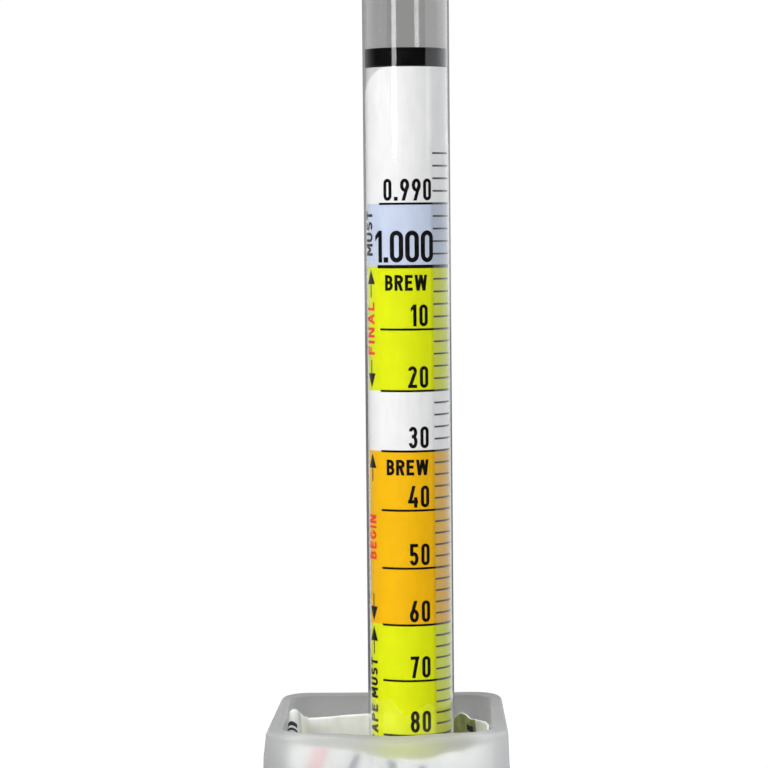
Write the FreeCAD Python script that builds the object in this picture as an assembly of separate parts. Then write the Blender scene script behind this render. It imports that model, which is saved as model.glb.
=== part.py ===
import FreeCAD, Part
import math
import os

# Glass hydrometer with a rolled paper scale, standing in its square plastic storage case.
# Millimetres, +Z up. The origin is the centre of the case's underside.

# Stem and gravity scale. A mark's height above the 1.000 mark is SCALE_CONSTANT * (1 / gravity - 1).
STEM_RADIUS = 3.60
STEM_WALL = 0.17
TIP_WALL = 0.30
SCALE_CONSTANT = 521.0
LOWEST_GRAVITY = 1.130
CLEAR_STEM_BELOW_SCALE = 7.0
CLEAR_STEM_ABOVE_BAND = 12.0

# Bulb. Its length is worked out from the volume that the 1.000 mark has to displace.
BULB_RADIUS = 6.10
BULB_WALL = 0.50
SHOULDER_ROUND = 4.8
SHOULDER_HOLLOW = 2.9

# Paper scale rolled into the stem's bore, and the black ring that holds it down
PAPER_THICKNESS = 0.10
PAPER_CLEARANCE = 0.02
PAPER_TOP_ABOVE_UNITY = 16.36
PAPER_BELOW_LOWEST_MARK = 4.0
PAPER_EDGE_ANGLE = -75.0
PAPER_OVERLAP_ANGLE = 60.0
PAPER_POINT_EVERY = 20.0
PAPER_CORNER_RADIUS = 1.8
BAND_HEIGHT = 1.45
BAND_THICKNESS = 0.25
BAND_GAP = 0.10

# Ballast: steel shot in the nose under a plug of sealing wax
SHOT_RADIUS = 1.36
SHOT_RING_COUNT = 9
SHOT_CORE_COUNT = 3
SHOT_CORE_RADIUS = 1.58
SHOT_LAYERS = 11
SHOT_LAYER_PITCH = 2.36
SHOT_BOWL_COUNT = 5
SHOT_BOWL_RADIUS = 2.70
SHOT_BOWL_DEPTH = 2.65
SHOT_CLEARANCE = 0.05
WAX_HEIGHT = 13.6
WAX_DISH_DEPTH = 1.2

# Storage case, foam pad and rolled leaflet
CASE_WIDTH = 20.3
CASE_WALL = 1.60
CASE_CORNER_RADIUS = 3.4
CASE_BASE = 1.5
CASE_RIM_ROUND = 0.45
CASE_FOOT_ROUND = 0.8
RIM_GRAVITY = 1.080
RIM_ABOVE_MARK = 1.35
PAD_THICKNESS = 3.0
PAD_CLEARANCE = 0.25
NOSE_CLEARANCE = 0.10
STEM_OFFSET = 1.85
LEAFLET_THICKNESS = 0.12
LEAFLET_WALL_GAP = 0.21
LEAFLET_BELOW_RIM = 1.3
LEAFLET_LIFT = 0.2
LEAFLET_CORNER = 2.0
LEAFLET_BACK = 7.0
LEAFLET_INNER_LAYER = 7.4
LEAFLET_OUTER_END = 3.0
LEAFLET_INNER_END = -2.0

FULL_TURN = 360.0
AXIS_UP = FreeCAD.Vector(0, 0, 1)
STEM_AXIS_POINT = FreeCAD.Vector(STEM_OFFSET, 0, 0)


def mark_height(gravity):
    """Height of a gravity mark above the 1.000 mark."""
    return SCALE_CONSTANT * (1 / gravity - 1)


def shoulder_turn(wide, narrow):
    """Angle of the two tangent arcs that lead from the bulb's radius to the stem's."""
    return math.acos(1 - (wide - narrow) / (SHOULDER_ROUND + SHOULDER_HOLLOW))


def bulb_cylinder_length():
    """Straight length of the bulb, so that the float displaces the right volume at 1.000."""
    displaced = SCALE_CONSTANT * math.pi * STEM_RADIUS**2
    stem = (CLEAR_STEM_BELOW_SCALE - mark_height(LOWEST_GRAVITY)) * math.pi * STEM_RADIUS**2
    nose = 2 / 3 * math.pi * BULB_RADIUS**3
    rise = (SHOULDER_ROUND + SHOULDER_HOLLOW) * math.sin(shoulder_turn(BULB_RADIUS, STEM_RADIUS))
    squares = BULB_RADIUS**2 + BULB_RADIUS * STEM_RADIUS + STEM_RADIUS**2
    shoulder = math.pi * rise / 3 * squares
    return (displaced - stem - nose - shoulder) / (math.pi * BULB_RADIUS**2)


# Heights that follow from the sizes above
NOSE_Z = CASE_BASE + PAD_THICKNESS + NOSE_CLEARANCE
SHOULDER_Z = NOSE_Z + BULB_RADIUS + bulb_cylinder_length()
SHOULDER_RISE = (SHOULDER_ROUND + SHOULDER_HOLLOW) * math.sin(
    shoulder_turn(BULB_RADIUS, STEM_RADIUS)
)
LOWEST_MARK_Z = SHOULDER_Z + SHOULDER_RISE + CLEAR_STEM_BELOW_SCALE
UNITY_Z = LOWEST_MARK_Z - mark_height(LOWEST_GRAVITY)
PAPER_TOP_Z = UNITY_Z + PAPER_TOP_ABOVE_UNITY
PAPER_BOTTOM_Z = LOWEST_MARK_Z - PAPER_BELOW_LOWEST_MARK
BAND_TOP_Z = PAPER_TOP_Z + BAND_GAP + BAND_HEIGHT
TIP_Z = BAND_TOP_Z + CLEAR_STEM_ABOVE_BAND
RIM_Z = UNITY_Z + mark_height(RIM_GRAVITY) + RIM_ABOVE_MARK
BORE_RADIUS = STEM_RADIUS - STEM_WALL
CAVITY_RADIUS = BULB_RADIUS - BULB_WALL


def line(start, end):
    """Straight edge between two (x, y, z) points."""
    return Part.makeLine(FreeCAD.Vector(*start), FreeCAD.Vector(*end))


def profile_arc(centre, radius, start_angle, end_angle):
    """Arc in the XZ plane; an angle of 0 points along +X and 90 along +Z."""

    def at(angle):
        turn = math.radians(angle)
        x = centre[0] + radius * math.cos(turn)
        return FreeCAD.Vector(x, 0, centre[1] + radius * math.sin(turn))

    middle = (start_angle + end_angle) / 2
    return Part.Arc(at(start_angle), at(middle), at(end_angle)).toShape()


def revolved(edges):
    """Solid of revolution about Z from a closed outline in the XZ plane, moved to the stem's axis."""
    solid = Part.Face(Part.Wire(edges)).revolve(FreeCAD.Vector(), AXIS_UP, FULL_TURN)
    solid.translate(STEM_AXIS_POINT)
    return solid


def float_shape(bulb, stem, nose_z, tip_z):
    """Closed float: round nose, straight bulb, S-shaped shoulder, stem and domed tip."""
    turn = shoulder_turn(bulb, stem)
    degrees = math.degrees(turn)
    rise = (SHOULDER_ROUND + SHOULDER_HOLLOW) * math.sin(turn)
    stem_low = SHOULDER_Z + rise
    edges = [
        profile_arc((0, nose_z + bulb), bulb, -90, 0),
        line((bulb, 0, nose_z + bulb), (bulb, 0, SHOULDER_Z)),
        profile_arc((bulb - SHOULDER_ROUND, SHOULDER_Z), SHOULDER_ROUND, 0, degrees),
        profile_arc((stem + SHOULDER_HOLLOW, stem_low), SHOULDER_HOLLOW, 180 + degrees, 180),
        line((stem, 0, stem_low), (stem, 0, tip_z - stem)),
        profile_arc((0, tip_z - stem), stem, 0, 90),
        line((0, 0, tip_z), (0, 0, nose_z)),
    ]
    return revolved(edges)


def glass_envelope():
    """One blown glass shell, sealed at the nose and the tip."""
    outside = float_shape(BULB_RADIUS, STEM_RADIUS, NOSE_Z, TIP_Z)
    inside = float_shape(CAVITY_RADIUS, BORE_RADIUS, NOSE_Z + BULB_WALL, TIP_Z - TIP_WALL)
    return outside.cut(inside)


def around_stem(radius, angle, height):
    """Point at a radius and angle about the stem; angle 0 faces -Y and 90 faces +X."""
    turn = math.radians(angle)
    x = STEM_OFFSET + radius * math.sin(turn)
    return FreeCAD.Vector(x, -radius * math.cos(turn), height)


def scale_paper():
    """Sheet rolled a little over one turn, its outer edge on the left of the front."""
    total = FULL_TURN + PAPER_OVERLAP_ANGLE
    steps = round(total / PAPER_POINT_EVERY)
    pitch = PAPER_THICKNESS + PAPER_CLEARANCE

    def spiral(outer_radius):
        points = []
        for step in range(steps + 1):
            turned = step * PAPER_POINT_EVERY
            radius = outer_radius - pitch * turned / FULL_TURN
            points.append(around_stem(radius, PAPER_EDGE_ANGLE + turned, PAPER_BOTTOM_Z))
        curve = Part.BSplineCurve()
        curve.interpolate(points)
        return curve.toShape(), points[0], points[-1]

    outer, outer_start, outer_end = spiral(BORE_RADIUS - PAPER_CLEARANCE)
    inner, inner_start, inner_end = spiral(BORE_RADIUS - PAPER_CLEARANCE - PAPER_THICKNESS)
    edges = [
        outer,
        Part.makeLine(outer_end, inner_end),
        inner,
        Part.makeLine(inner_start, outer_start),
    ]
    face = Part.Face(Part.Wire(Part.__sortEdges__(edges)))
    sheet = face.extrude(FreeCAD.Vector(0, 0, PAPER_TOP_Z - PAPER_BOTTOM_Z))
    return sheet.cut(paper_corner_cut(pitch))


def paper_corner_cut(pitch):
    """What is trimmed from the outer layer to round its top corner."""
    sheet_edge = around_stem(
        BORE_RADIUS - PAPER_CLEARANCE - PAPER_THICKNESS, PAPER_EDGE_ANGLE, PAPER_TOP_Z
    )
    left = around_stem(BORE_RADIUS, PAPER_EDGE_ANGLE, PAPER_TOP_Z).x
    low = PAPER_TOP_Z - PAPER_CORNER_RADIUS
    square = Part.makeBox(
        PAPER_CORNER_RADIUS,
        BORE_RADIUS + sheet_edge.y,
        PAPER_CORNER_RADIUS * 2,
        FreeCAD.Vector(left, -BORE_RADIUS, low),
    )
    centre = FreeCAD.Vector(left + PAPER_CORNER_RADIUS, 0, low)
    kept = Part.makeCylinder(
        PAPER_CORNER_RADIUS, BORE_RADIUS, centre, FreeCAD.Vector(0, -1, 0)
    )
    between_layers = BORE_RADIUS - PAPER_CLEARANCE - pitch + PAPER_CLEARANCE / 8
    outer_layer = stem_ring(BORE_RADIUS, between_layers, low, PAPER_TOP_Z + PAPER_CORNER_RADIUS)
    return square.cut(kept).common(outer_layer)


def stem_ring(outer, inner, low, high):
    """Plain ring on the stem's axis."""
    base = FreeCAD.Vector(STEM_OFFSET, 0, low)
    ring = Part.makeCylinder(outer, high - low, base)
    return ring.cut(Part.makeCylinder(inner, high - low, base))


def scale_band():
    """Black ring in the bore on top of the paper."""
    outer = BORE_RADIUS - PAPER_CLEARANCE
    return stem_ring(outer, outer - BAND_THICKNESS, PAPER_TOP_Z + BAND_GAP, BAND_TOP_Z)


def shot_layer(count, radius, height, first_angle):
    """Ring of steel balls at one height."""
    balls = []
    for index in range(count):
        centre = around_stem(radius, first_angle + index * FULL_TURN / count, height)
        balls.append(Part.makeSphere(SHOT_RADIUS, centre))
    return balls


def ballast_shot():
    """Steel balls packed in the nose: one, a small ring, then layers of a ring and a core."""
    centre_z = NOSE_Z + BULB_RADIUS
    ring_radius = CAVITY_RADIUS - SHOT_RADIUS - SHOT_CLEARANCE
    half_step = FULL_TURN / SHOT_RING_COUNT / 2
    balls = shot_layer(1, 0, centre_z - ring_radius, 0)
    balls += shot_layer(SHOT_BOWL_COUNT, SHOT_BOWL_RADIUS, centre_z - SHOT_BOWL_DEPTH, 0)
    for layer in range(SHOT_LAYERS):
        height = centre_z + layer * SHOT_LAYER_PITCH
        turned = layer % 2
        ring_angle = turned * half_step
        core_angle = half_step + turned * FULL_TURN / SHOT_CORE_COUNT / 2
        balls += shot_layer(SHOT_RING_COUNT, ring_radius, height, ring_angle)
        balls += shot_layer(SHOT_CORE_COUNT, SHOT_CORE_RADIUS, height, core_angle)
    return Part.makeCompound(balls)


def ballast_wax():
    """Plug of wax poured on the shot, its top sunk in the middle."""
    top_layer = NOSE_Z + BULB_RADIUS + (SHOT_LAYERS - 1) * SHOT_LAYER_PITCH
    low = top_layer + SHOT_RADIUS + SHOT_CLEARANCE
    radius = CAVITY_RADIUS - SHOT_CLEARANCE
    plug = Part.makeCylinder(radius, WAX_HEIGHT, FreeCAD.Vector(STEM_OFFSET, 0, low))
    dish_radius = (radius**2 + WAX_DISH_DEPTH**2) / (2 * WAX_DISH_DEPTH)
    dish_z = low + WAX_HEIGHT - WAX_DISH_DEPTH + dish_radius
    return plug.cut(Part.makeSphere(dish_radius, FreeCAD.Vector(STEM_OFFSET, 0, dish_z)))


def rounded_block(width, corner, low, high):
    """Square block with its four upright edges rounded, centred on the Z axis."""
    corner_point = FreeCAD.Vector(-width / 2, -width / 2, low)
    block = Part.makeBox(width, width, high - low, corner_point)
    upright = [edge for edge in block.Edges if edge.BoundBox.ZLength > (high - low) / 2]
    return block.makeFillet(corner, upright)


def edges_at(shape, height):
    """Edges that lie in one level plane."""
    flat = 1e-6
    return [
        edge
        for edge in shape.Edges
        if edge.BoundBox.ZLength < flat and abs(edge.BoundBox.ZMin - height) < flat
    ]


def case_body():
    """Frosted plastic tube with a rounded square section, a closed base and a rounded rim."""
    outside = rounded_block(CASE_WIDTH, CASE_CORNER_RADIUS, 0, RIM_Z)
    outside = outside.makeFillet(CASE_RIM_ROUND, edges_at(outside, RIM_Z))
    outside = outside.makeFillet(CASE_FOOT_ROUND, edges_at(outside, 0))
    inner_width = CASE_WIDTH - 2 * CASE_WALL
    pocket = rounded_block(inner_width, CASE_CORNER_RADIUS - CASE_WALL, CASE_BASE, RIM_Z)
    return outside.cut(pocket)


def base_pad():
    """Soft foam square on the case's floor, which the nose stands on."""
    width = CASE_WIDTH - 2 * CASE_WALL - 2 * PAD_CLEARANCE
    corner = CASE_CORNER_RADIUS - CASE_WALL - PAD_CLEARANCE
    return rounded_block(width, corner, CASE_BASE, CASE_BASE + PAD_THICKNESS)


def corner_arc(centre, radius, start_angle, height):
    """Quarter turn in a level plane, anticlockwise seen from above."""
    points = []
    for angle in (start_angle, start_angle + 45, start_angle + 90):
        turn = math.radians(angle)
        x = centre[0] + radius * math.cos(turn)
        points.append(FreeCAD.Vector(x, centre[1] + radius * math.sin(turn), height))
    return Part.Arc(*points).toShape()


def leaflet_outline(offset, height):
    """Edges of the leaflet's roll, offset outwards from its inner face."""
    side = CASE_WIDTH / 2 - CASE_WALL - LEAFLET_WALL_GAP - LEAFLET_THICKNESS + offset
    back = LEAFLET_BACK + offset
    inner = LEAFLET_INNER_LAYER + offset
    radius = LEAFLET_CORNER + offset
    flat_side = side - radius
    flat_back = back - radius
    flat_inner = inner - radius
    return [
        line((-side, LEAFLET_OUTER_END, height), (-side, -flat_side, height)),
        corner_arc((-flat_side, -flat_side), radius, 180, height),
        line((-flat_side, -side, height), (flat_side, -side, height)),
        corner_arc((flat_side, -flat_side), radius, 270, height),
        line((side, -flat_side, height), (side, flat_back, height)),
        corner_arc((flat_side, flat_back), radius, 0, height),
        line((flat_side, back, height), (-flat_inner, back, height)),
        corner_arc((-flat_inner, flat_back), radius, 90, height),
        line((-inner, flat_back, height), (-inner, LEAFLET_INNER_END, height)),
    ]


def leaflet():
    """Printed sheet rolled round inside the case, overlapping itself on the left."""
    low = CASE_BASE + PAD_THICKNESS + LEAFLET_LIFT
    inside = leaflet_outline(0, low)
    outside = leaflet_outline(LEAFLET_THICKNESS, low)
    start = Part.makeLine(inside[0].Vertexes[0].Point, outside[0].Vertexes[0].Point)
    end = Part.makeLine(inside[-1].Vertexes[-1].Point, outside[-1].Vertexes[-1].Point)
    edges = Part.__sortEdges__(inside + outside + [start, end])
    face = Part.Face(Part.Wire(edges))
    return face.extrude(FreeCAD.Vector(0, 0, RIM_Z - LEAFLET_BELOW_RIM - low))


NODES = {
    "case_body": case_body,
    "base_pad": base_pad,
    "leaflet": leaflet,
    "glass_envelope": glass_envelope,
    "scale_paper": scale_paper,
    "scale_band": scale_band,
    "ballast_shot": ballast_shot,
    "ballast_wax": ballast_wax,
}


def main():
    """Write one STEP file per node and print the heights that the record states."""
    os.makedirs("parts", exist_ok=True)
    for name, make in NODES.items():
        shape = make()
        shape.exportStep(f"parts/{name}.step")
        print(f"{name}: valid {shape.isValid()}, solids {len(shape.Solids)}, mm3 {shape.Volume:.1f}")
    heights = {
        "nose": NOSE_Z,
        "shoulder": SHOULDER_Z,
        "stem starts": SHOULDER_Z + SHOULDER_RISE,
        "lowest mark": LOWEST_MARK_Z,
        "case rim": RIM_Z,
        "1.000 mark": UNITY_Z,
        "paper top": PAPER_TOP_Z,
        "tip": TIP_Z,
    }
    for name, height in heights.items():
        print(f"{name} z {height:.3f}")


main()
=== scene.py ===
import math
import random

import bpy
from mathutils import Matrix, Vector, noise


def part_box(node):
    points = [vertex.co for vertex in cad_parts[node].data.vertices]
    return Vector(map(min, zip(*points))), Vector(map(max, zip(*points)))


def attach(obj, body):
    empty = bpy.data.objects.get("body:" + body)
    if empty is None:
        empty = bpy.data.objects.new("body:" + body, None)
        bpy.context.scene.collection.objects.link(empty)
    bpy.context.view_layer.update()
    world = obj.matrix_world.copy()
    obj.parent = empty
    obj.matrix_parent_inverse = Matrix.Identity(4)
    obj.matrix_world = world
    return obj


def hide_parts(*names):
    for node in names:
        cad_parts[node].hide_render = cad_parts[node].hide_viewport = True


# Looks of a glass hydrometer in its frosted storage case. Sizes here are in millimetres and are
# turned into metres by MM as each mesh is made. The row frame's -Y side faces the camera.

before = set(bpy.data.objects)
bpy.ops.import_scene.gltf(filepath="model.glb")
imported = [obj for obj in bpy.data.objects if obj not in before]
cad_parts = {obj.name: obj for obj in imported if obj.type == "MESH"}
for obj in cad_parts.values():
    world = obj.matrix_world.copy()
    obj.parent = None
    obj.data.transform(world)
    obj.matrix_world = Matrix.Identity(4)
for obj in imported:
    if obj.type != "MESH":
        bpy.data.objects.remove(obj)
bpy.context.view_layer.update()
MM = 0.001


def corners_mm(node):
    """Lowest and highest corner of a CAD node, in millimetres."""
    low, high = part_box(node)
    return low / MM, high / MM


GLASS_LOW, GLASS_HIGH = corners_mm("glass_envelope")
PAPER_LOW, PAPER_HIGH = corners_mm("scale_paper")
BAND_LOW, BAND_HIGH = corners_mm("scale_band")
CASE_HIGH = corners_mm("case_body")[1]
PAD_LOW, PAD_HIGH = corners_mm("base_pad")
LEAFLET_LOW, LEAFLET_HIGH = corners_mm("leaflet")

# Stem and bulb
STEM_X = (GLASS_LOW.x + GLASS_HIGH.x) / 2
STEM_LOW_Z = PAPER_LOW.z - 3.0
BULB_RADIUS = (GLASS_HIGH.x - GLASS_LOW.x) / 2
BULB_WALL = 0.50
STEM_RADIUS = 3.60
STEM_WALL = 0.17
TIP_WALL = 0.30
SHOULDER_ROUND = 4.8
SHOULDER_HOLLOW = 2.9
GLASS_SEGMENTS = 160

# Rolled paper and its ring
PAPER_OUTER_RADIUS = 3.41
PAPER_THICKNESS = 0.10
PAPER_PITCH = 0.12
PAPER_EDGE_ANGLE = -75.0
PAPER_TURN = 420.0
PAPER_HIDDEN_TURN = 345.0
PAPER_CORNER_WIDTH = 2.0
PAPER_CORNER_DROP = 2.3
PAPER_COLUMNS = 280
PAPER_CROWDING = 1.35
PRINT_MARGIN = 7.0
# past this angle round the stem, on the side away from the light, the paper's colour is darkened
# by these factors as painted shade
SHADE_START_ANGLE = 34.5
WHITE_PAINTED_SHADE = 0.84
COLOURED_PAINTED_SHADE = 0.70
BAND_THICKNESS = 0.25
BAND_EASE = 0.05

# Heights on the scale
UNITY_Z = PAPER_HIGH.z - 16.36
SCALE_CONSTANT = 521.0
SCALE_ABOVE_UNITY = 0.99
SCALE_STRETCH = 0.000128
LOWEST_GRAVITY = 1.130

# Case and pad
RIM_Z = CASE_HIGH.z
CASE_HALF = CASE_HIGH.x
CASE_WALL = 1.60
CASE_INNER_HALF = CASE_HALF - CASE_WALL
CASE_CORNER = 2.5
CASE_INNER_CORNER = 1.8
CASE_BASE = PAD_LOW.z
RIM_ROUND = 0.45
RIM_LIP = 0.18
RIM_STRAIGHT = 0.9
FOOT_ROUND = 0.8
INNER_FOOT_ROUND = 0.5
RIM_FALL = 0.24
RIM_SAG = 0.36
RIM_NOTCH = 0.30
# a side wall's lean at the front, what is added to it at the back, and the depth it starts at
LEFT_LEAN = (0.022, 0.052, 3.2)
RIGHT_LEAN = (0.030, 0.032, 9.0)
# the rear wall's colour is darkened by this factor across this depth span, as painted shade
REAR_WALL_SHADE = 0.80
REAR_SHADE_START = 0.006
REAR_SHADE_END = 0.0085
PAD_CORNER = 1.5
PAD_EASE = 0.35
PAD_DENT_DEPTH = 0.22
PAD_DENT_RADIUS = 2.2
PAD_UNEVENNESS = 0.05

# Leaflet
SHEET_THICKNESS = 0.12
LEAFLET_SIDE = LEAFLET_HIGH.x
LEAFLET_LEVEL = RIM_Z - 1.5
LEAFLET_CORNER = 1.55
LEAFLET_SPACING = 0.2
LEAFLET_CREASE = 0.12
CURL_CENTRE = (-7.92, -0.1)
CURL_RADIUS = 0.62
CURL_TIP_SHARE = 0.58
CURL_TIP_DEPTH = 1.9
CURL_WALL_GAP = 0.15
LINE_DEPTH = 0.55
LINE_SPACING = 1.5

# Camera, relative to the stem's axis and the rim
CAMERA_DISTANCE = 249.5
CAMERA_RIGHT = 3.18
CAMERA_ABOVE_RIM = 41.35
CAMERA_PITCH = -3.193
CAMERA_YAW = 1.20
CAMERA_ROLL = -0.51
CAMERA_LENS = 140.6
SENSOR = 36.0

# Light: strengths of what each kind of ray meets
WHITE = (1.0, 1.0, 1.0, 1.0)
BACKDROP = 1.02
GLOW_BEARING = math.radians(-40.0)
GLOW_ELEVATION = math.radians(40.0)
GLOW_DIRECTION = (
    math.sin(GLOW_BEARING) * math.cos(GLOW_ELEVATION),
    -math.cos(GLOW_BEARING) * math.cos(GLOW_ELEVATION),
    math.sin(GLOW_ELEVATION),
)
GLOW_COLOUR = (0.98, 0.99, 1.0, 1.0)
GLOW_BASE = 0.66
GLOW_PEAK = 1.60
BACK_GLOW_DIRECTION = (0.35, 0.85, 0.39)
BACK_GLOW_PEAK = 0.8
ROOM_IN_REFLECTION = 0.02
ROOM_THROUGH_GLASS = 0.33
FLOOR_THROUGH_GLASS = 0.19
FLOOR_GLOW = 0.45
FLOOR_COLOUR = (0.86, 0.86, 0.86, 1.0)
FLOOR_REACH = 6000.0


# --- meshes


def mesh_object(name, points, faces, materials, sharp=None):
    """New smooth object from points in millimetres, with edges sharp above an angle."""
    mesh = bpy.data.meshes.new(name)
    mesh.from_pydata([tuple(c * MM for c in p) for p in points], [], faces)
    mesh.validate()
    mesh.update()
    for material in materials:
        mesh.materials.append(material)
    mesh.polygons.foreach_set("use_smooth", [True] * len(mesh.polygons))
    if sharp:
        mesh.set_sharp_from_angle(angle=math.radians(sharp))
    piece = bpy.data.objects.new(name, mesh)
    bpy.context.scene.collection.objects.link(piece)
    return piece


def cos_sin(angle):
    """Cosine and sine of an angle in degrees."""
    return math.cos(math.radians(angle)), math.sin(math.radians(angle))


def around_stem(radius, angle, height):
    """Point about the stem's axis; angle 0 faces -Y and 90 faces +X."""
    c, s = cos_sin(angle)
    return (STEM_X + radius * s, -radius * c, height)


def revolve(profile, segments):
    """Points and faces of a profile of (radius, height) turned about the stem's axis."""
    points = []
    faces = []
    rows = []
    for radius, height in profile:
        count = 1 if radius < 1e-6 else segments
        rows.append([len(points) + index for index in range(count)])
        points += [around_stem(radius, 360.0 * index / count, height) for index in range(count)]
    for low, high in zip(rows, rows[1:]):
        for index in range(segments):
            after = (index + 1) % segments
            if len(low) == 1:
                faces.append((low[0], high[after], high[index]))
            elif len(high) == 1:
                faces.append((low[index], low[after], high[0]))
            else:
                faces.append((low[index], low[after], high[after], high[index]))
    return points, faces


def arc(centre, radius, start, end, steps):
    """Points of an arc; angles in degrees, 0 along the first axis."""
    points = []
    for step in range(steps + 1):
        c, s = cos_sin(start + (end - start) * step / steps)
        points.append((centre[0] + radius * c, centre[1] + radius * s))
    return points


def mix(a, b, share):
    """Point on the way from a to b."""
    return tuple(p + (q - p) * share for p, q in zip(a, b))


def grid(start, rows, width):
    """Faces between rows of points, each row width points long."""
    faces = []
    for row in range(rows - 1):
        for a in range(start + row * width, start + (row + 1) * width - 1):
            faces.append((a, a + 1, a + 1 + width, a + width))
    return faces


def stitched(loops):
    """Points and faces of a closed surface through loops of equal length."""
    count = len(loops[0])
    points = [point for loop in loops for point in loop]
    faces = []
    for start in range(count, len(points), count):
        for i in range(count):
            j = (i + 1) % count
            faces.append((start - count + i, start - count + j, start + j, start + i))
    faces.append(tuple(reversed(range(count))))
    faces.append(tuple(range(len(points) - count, len(points))))
    return points, faces


# --- materials


class Nodes:
    """A node tree of a material or world, with short calls for the nodes that are used here."""

    def __init__(self, name, world=False):
        self.owner = (bpy.data.worlds if world else bpy.data.materials).new(name)
        self.owner.use_nodes = True
        self.tree = self.owner.node_tree
        self.tree.nodes.clear()
        self.output = self.add("ShaderNodeOutputWorld" if world else "ShaderNodeOutputMaterial")

    def add(self, kind, inputs=None, **values):
        """New node. An input is given as an output to link, or as a value."""
        node = self.tree.nodes.new(kind)
        for key, value in values.items():
            setattr(node, key, value)
        for key, value in (inputs or {}).items():
            if isinstance(value, bpy.types.NodeSocket):
                self.tree.links.new(value, node.inputs[key])
            else:
                node.inputs[key].default_value = value
        return node

    def position(self):
        """Object coordinates, which are the row frame's metres."""
        return self.add("ShaderNodeTexCoord").outputs["Object"]

    def along(self, axis, vector=None):
        """One coordinate."""
        apart = self.add("ShaderNodeSeparateXYZ", {"Vector": vector or self.position()})
        return apart.outputs[axis]

    def stretched(self, scale):
        """Object coordinates scaled by different amounts along the axes."""
        mapping = self.add("ShaderNodeMapping", {"Vector": self.position(), "Scale": scale})
        return mapping.outputs["Vector"]

    def noise(self, scale, detail=3.0, roughness=0.5, vector=None):
        """Noise factor."""
        inputs = {"Scale": scale, "Detail": detail, "Roughness": roughness}
        inputs["Vector"] = vector or self.position()
        return self.add("ShaderNodeTexNoise", inputs).outputs["Fac"]

    def ramp(self, factor, stops):
        """Colour ramp from two (position, colour) stops."""
        node = self.add("ShaderNodeValToRGB", {"Fac": factor})
        for element, (place, colour) in zip(node.color_ramp.elements, stops):
            element.position = place
            element.color = (*colour, 1.0)
        return node.outputs["Color"]

    def spread(self, factor, low, high, start=0.0, end=1.0):
        """Map start to end of a factor onto low to high."""
        inputs = {"Value": factor, "From Min": start, "From Max": end}
        inputs.update({"To Min": low, "To Max": high})
        return self.add("ShaderNodeMapRange", inputs).outputs["Result"]

    def scaled(self, colour, amount):
        """Colour times a number."""
        inputs = {0: colour, "Scale": amount}
        return self.add("ShaderNodeVectorMath", inputs, operation="SCALE").outputs["Vector"]

    def reckon(self, operation, first, second):
        """Result of a sum on two numbers."""
        node = self.add("ShaderNodeMath", {0: first, 1: second}, operation=operation)
        return node.outputs["Value"]

    def bump(self, height, distance):
        """Normal bumped by a height."""
        inputs = {"Strength": 1.0, "Distance": distance, "Height": height}
        return self.add("ShaderNodeBump", inputs).outputs["Normal"]

    def principled(self, **values):
        """Principled shader."""
        inputs = {key.replace("_", " "): value for key, value in values.items()}
        return self.add("ShaderNodeBsdfPrincipled", inputs).outputs["BSDF"]

    def emission(self, strength):
        """White glow."""
        inputs = {"Color": WHITE, "Strength": strength}
        return self.add("ShaderNodeEmission", inputs).outputs["Emission"]

    def choose(self, factor, first, second):
        """First shader where the factor is 0, second where it is 1."""
        return self.add("ShaderNodeMixShader", {0: factor, 1: first, 2: second}).outputs["Shader"]

    def clear_to_lamps(self, shader, tint):
        """Lets light from lamps through, so that what is behind is lit."""
        shadow = self.add("ShaderNodeLightPath").outputs["Is Shadow Ray"]
        clear = self.add("ShaderNodeBsdfTransparent", {"Color": (*tint, 1.0)})
        return self.choose(shadow, shader, clear.outputs["BSDF"])

    def finish(self, shader):
        """Use the shader, and give back the material or world."""
        self.tree.links.new(shader, self.output.inputs["Surface"])
        return self.owner


def mottled(name, scale, detail, tangle, stops, roughness, relief=0.0, **values):
    """Material whose colour, gloss and relief all follow one noise."""
    n = Nodes(name)
    grain = n.noise(scale, detail, tangle)
    values["Base_Color"] = n.ramp(grain, stops)
    values["Roughness"] = n.spread(grain, *roughness)
    if relief:
        values["Normal"] = n.bump(grain, relief)
    return n.finish(n.principled(**values))


def glass_material():
    """Drawn laboratory glass with a faint film of handling marks, wavier on its far side."""
    n = Nodes("clear_glass")
    waves = n.noise(1.0, 2.0, 0.5, n.stretched((260.0, 260.0, 60.0)))
    far_side = n.spread(n.along("Y"), 0.5, 1.6, -0.001, 0.001)
    ripple = n.reckon("MULTIPLY", n.noise(3800.0, 2.0), far_side)
    shader = n.principled(
        Transmission_Weight=1.0,
        IOR=1.49,
        Base_Color=(0.985, 0.985, 0.98, 1.0),
        Roughness=n.spread(n.noise(900.0, 5.0, 0.65), 0.0, 0.03),
        Normal=n.bump(n.reckon("ADD", waves, ripple), 0.000004),
    )
    return n.finish(n.clear_to_lamps(shader, (0.93, 0.93, 0.93)))


def paper_material(name, colour, mottle=0.04, painted_shade=1.0):
    """Coated printed paper: ink a little uneven over fine fibres. Past an angle round the stem,
    on the side away from the light, the colour is darkened as painted shade."""
    n = Nodes(name)
    patches = n.noise(1500.0, 4.0, 0.6, n.stretched((1.0, 1.0, 0.35)))
    pale, deep = (tuple(min(1.0, c * (1.0 + s * mottle)) for c in colour) for s in (1, -1))
    printed = n.ramp(patches, [(0.3, deep), (0.7, pale)])
    # painted shade: the colour is darkened past an angle, on the side of the stem away from the
    # light
    if painted_shade < 1.0:
        edge = around_stem(PAPER_OUTER_RADIUS, SHADE_START_ANGLE, 0)[0] * MM
        shade_factor = n.spread(n.along("X"), 1.0, painted_shade, edge - 0.0001, edge + 0.0002)
        printed = n.scaled(printed, shade_factor)
    fibres = n.noise(6000.0, 3.0, 0.6)
    shader = n.principled(
        Specular_IOR_Level=0.1,
        Base_Color=printed,
        Roughness=n.spread(fibres, 0.49, 0.61),
        Normal=n.bump(fibres, 0.000006),
    )
    return n.finish(shader)


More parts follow.
